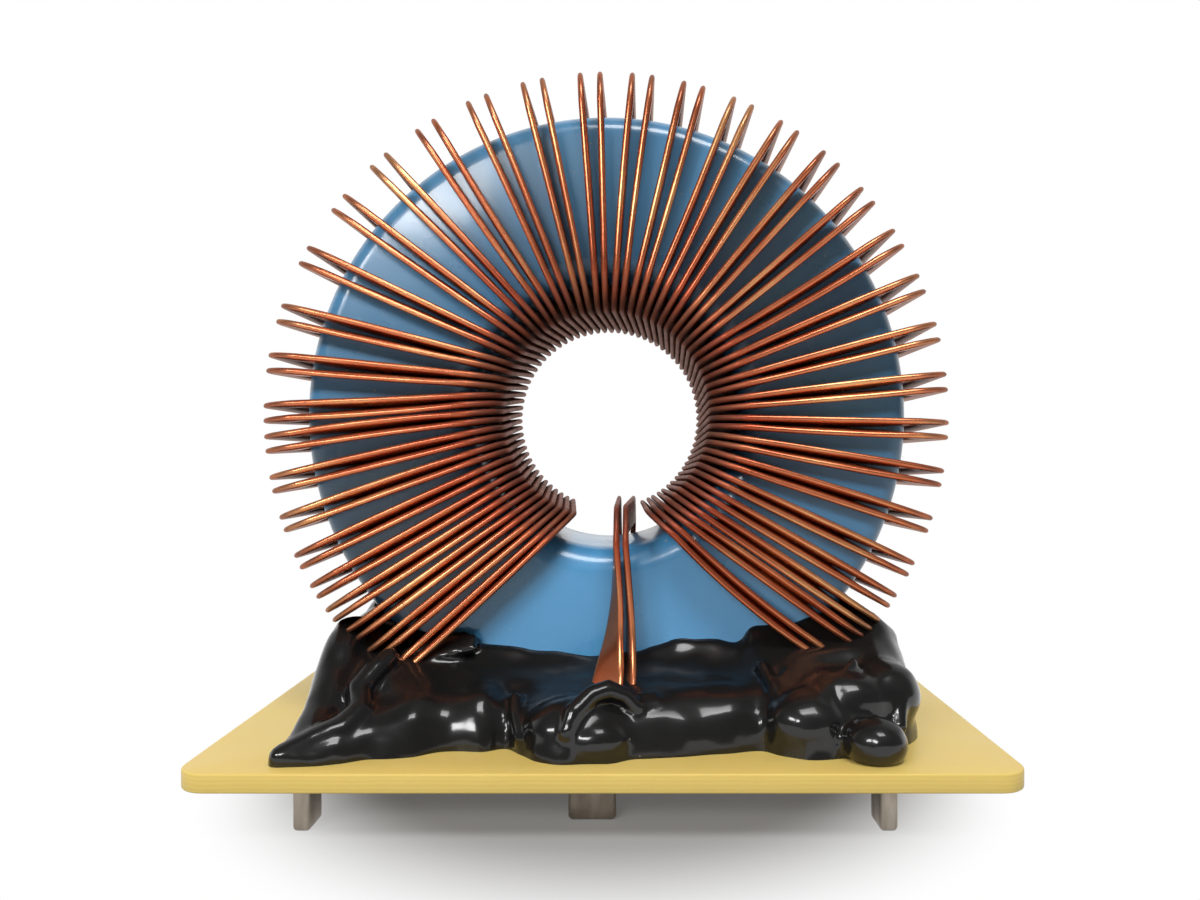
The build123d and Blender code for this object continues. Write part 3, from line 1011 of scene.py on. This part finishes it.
def makePotting():
    # The soft mass runs together first
    bm = bmesh.new()
    pottingMound(bm)
    for x, y, height, *radii in pottingLumps:
        addLump(bm, x, y, height, radii)
    for run in softRuns:
        addRun(bm, run)
    mass = toObject(bm, "pottingMass")
    runTogether(mass, potting["massVoxel"], potting["massSmoothing"])

    # Then the forms that set on top of it, with less easing
    bm = bmesh.new()
    bm.from_mesh(mass.data)
    bmesh.ops.scale(bm, vec=(1 / mm, 1 / mm, 1 / mm), verts=bm.verts)
    for x, y, height, *radii in lateLumps:
        addLump(bm, x, y, height, radii)
    for place, size, tilt in pottingFacets:
        addFacet(bm, place, size, tilt)
    for run in creasedRuns:
        addRun(bm, run)
    bmesh.ops.scale(bm, vec=(mm, mm, mm), verts=bm.verts)
    bm.to_mesh(mass.data)
    bm.free()
    runTogether(mass, potting["voxel"], potting["smoothing"])

    # Last the swells, and a flat cut at the board's top
    bm = bmesh.new()
    bm.from_mesh(mass.data)
    swollen(bm)
    bmesh.ops.bisect_plane(bm, geom=wholeMesh(bm), dist=potting["cutRoom"], plane_co=(0, 0, boardTop * mm),
                           plane_no=(0, 0, 1), clear_inner=True)
    fillHoles(bm)
    bmesh.ops.recalc_face_normals(bm, faces=bm.faces)
    bm.to_mesh(mass.data)
    bm.free()
    return finishPiece(mass, "potting", black, potting["sharpAngle"])


makePotting()


# Stage: a floor that fades to white for the camera, a sky white behind and dim in front, and soft lamps
stage = {"floorRadius": 1.5, "floorSteps": 96, "floorColour": (0.32, 0.32, 0.32), "floorLift": 0.1,
         "fadeStart": 0.022, "fadeEnd": 0.040, "skyFront": 0.16, "skyBack": 1.0, "skyTop": 0.3,
         "backRise": (-0.1, 0.35), "topRise": (0.3, 0.95)}

# Lamps as name, place and size in metres, and watts
lamps = [
    ("topRight", (0.08, -0.28, 0.45), (0.22, 0.16), 1.45),
    ("windowLeft", (-0.27, -0.35, 0.20), (0.11, 0.07), 0.52),
    ("windowRight", (-0.14, -0.42, 0.20), (0.11, 0.07), 0.52),
]


def makeFloor():
    bm = bmesh.new()
    bmesh.ops.create_circle(bm, cap_ends=True, segments=stage["floorSteps"], radius=stage["floorRadius"] / mm)
    bmesh.ops.translate(bm, vec=(0, 0, pinFloor), verts=bm.verts)
    floor = toObject(bm, "studioFloor")
    material = bpy.data.materials.new("paleFloor")
    material.use_nodes = True
    tree = material.node_tree
    tree.nodes.clear()
    place = addNode(tree, "ShaderNodeTexCoord")
    level = addNode(tree, "ShaderNodeMapping", Scale=(1, 1, 0))
    wire(tree, place, "Object", level, "Vector")
    far = addNode(tree, "ShaderNodeVectorMath", operation="LENGTH")
    wire(tree, level, "Vector", far, 0)
    fade = spreadOver(tree, far, "Value", stage["fadeStart"], stage["fadeEnd"], kind="SMOOTHSTEP")
    plain = addNode(tree, "ShaderNodeBsdfDiffuse", Color=(*stage["floorColour"], 1))
    lift = addNode(tree, "ShaderNodeEmission", Strength=stage["floorLift"])
    white = addNode(tree, "ShaderNodeEmission")
    lit = addNode(tree, "ShaderNodeAddShader")
    wire(tree, plain, 0, lit, 0)
    wire(tree, lift, 0, lit, 1)
    faded = addNode(tree, "ShaderNodeMixShader")
    wire(tree, fade, "Result", faded, 0)
    wire(tree, lit, 0, faded, 1)
    wire(tree, white, 0, faded, 2)

    # The camera, reflections and clear pieces see the fade to white, other rays the plain floor
    rays = addNode(tree, "ShaderNodeLightPath")
    seen = addNode(tree, "ShaderNodeMath", operation="MAXIMUM")
    shown = addNode(tree, "ShaderNodeMath", operation="MAXIMUM")
    wire(tree, rays, "Is Camera Ray", seen, 0)
    wire(tree, rays, "Is Glossy Ray", seen, 1)
    wire(tree, seen, 0, shown, 0)
    wire(tree, rays, "Is Transmission Ray", shown, 1)
    final = addNode(tree, "ShaderNodeMixShader")
    wire(tree, shown, 0, final, 0)
    wire(tree, plain, 0, final, 1)
    wire(tree, faded, 0, final, 2)
    result = addNode(tree, "ShaderNodeOutputMaterial")
    wire(tree, final, 0, result, "Surface")
    floor.data.materials.append(material)


def makeSky():
    world = bpy.data.worlds.new("studioSky")
    bpy.context.scene.world = world
    world.use_nodes = True
    tree = world.node_tree
    tree.nodes.clear()
    place = addNode(tree, "ShaderNodeTexCoord")
    split = addNode(tree, "ShaderNodeSeparateXYZ")
    wire(tree, place, "Generated", split, 0)
    level = addNode(tree, "ShaderNodeMath", operation="MAXIMUM")
    for socket, axis, rise, light in ((0, "Y", "backRise", "skyBack"), (1, "Z", "topRise", "skyTop")):
        spread = spreadOver(tree, split, axis, *stage[rise], stage["skyFront"], stage[light], "SMOOTHSTEP")
        wire(tree, spread, "Result", level, socket)
    sky = addNode(tree, "ShaderNodeBackground", Color=(1, 1, 1, 1))
    wire(tree, level, 0, sky, "Strength")
    result = addNode(tree, "ShaderNodeOutputWorld")
    wire(tree, sky, 0, result, "Surface")


def makeLamps():
    aim = ringCentre * mm
    for name, place, size, power in lamps:
        data = bpy.data.lights.new(name, "AREA")
        data.shape = "RECTANGLE"
        data.size, data.size_y = size
        data.energy = power
        lamp = bpy.data.objects.new(name, data)
        lamp.location = place
        lamp.rotation_euler = (aim - Vector(place)).to_track_quat("-Z", "Y").to_euler()
        bpy.context.scene.collection.objects.link(lamp)


# Camera: level, a little right of the ring's axis and just below it
view = {"place": (1.97, -97.93, 27.565), "lens": 28.2, "sensor": 36.0, "shift": (-0.0224, -0.0013),
        "clip": (0.005, 20.0)}


def makeCamera():
    data = bpy.data.cameras.new("frontCamera")
    data.sensor_width = view["sensor"]
    data.lens = view["lens"]
    data.shift_x, data.shift_y = view["shift"]
    data.clip_start, data.clip_end = view["clip"]
    camera = bpy.data.objects.new("frontCamera", data)
    camera.location = Vector(view["place"]) * mm
    camera.rotation_euler = (math.pi / 2, 0, 0)
    bpy.context.scene.collection.objects.link(camera)
    bpy.context.scene.camera = camera


makeFloor()
makeSky()
makeLamps()
makeCamera()
bpy.context.scene.view_settings.view_transform = "Standard"
print("stage ready")
